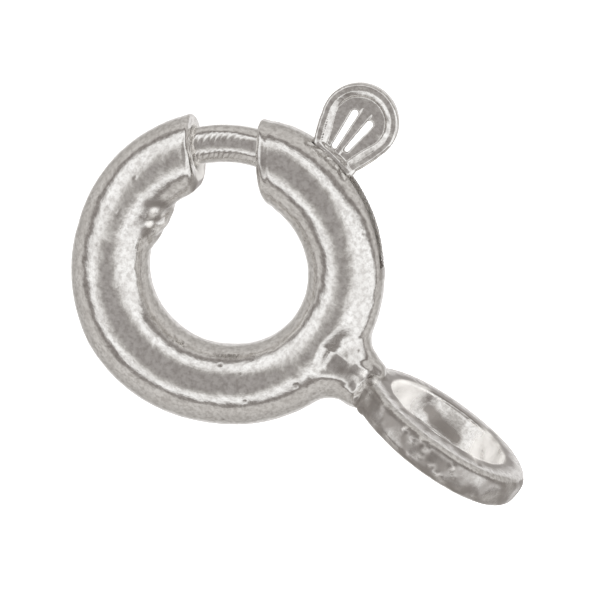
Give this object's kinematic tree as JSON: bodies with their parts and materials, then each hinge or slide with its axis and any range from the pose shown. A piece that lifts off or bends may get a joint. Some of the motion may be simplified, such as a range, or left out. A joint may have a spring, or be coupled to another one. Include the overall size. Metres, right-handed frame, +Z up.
{
  "type": "spring ring clasp",
  "caption": "Round spring ring clasp for a fine chain: a hollow ring whose mouth is closed by a sprung curved bolt with a thumb trigger, and an end ring soldered across it.",
  "frame": {"origin": "on the surface the clasp lies on, below the middle of its outline", "axes": "+X from the ring towards the end ring, +Y towards the trigger and along the end ring's hole, +Z up from the surface"},
  "size_m": [0.0098, 0.0075, 0.0036],
  "materials": {
    "ring_silver": "polished sterling silver, worn and slightly pitted",
    "bolt_silver": "polished sterling silver with drawing lines",
    "spring_wire": "bright drawn spring wire"
  },
  "bodies": {
    "ring": {"clasp_ring": "ring_silver", "return_spring": "spring_wire"},
    "bolt": {"bolt": "bolt_silver"}
  },
  "joints": [
    {"name": "bolt_turn", "type": "hinge", "parent": "ring", "child": "bolt", "pos_m": [-0.00192, -0.00075, 0.00108], "axis": [0.1466, 0, -0.9892], "range_deg": [0, 35], "stiffness_Nm_per_rad": 0.002, "deforming": ["return_spring"]}
  ]
}
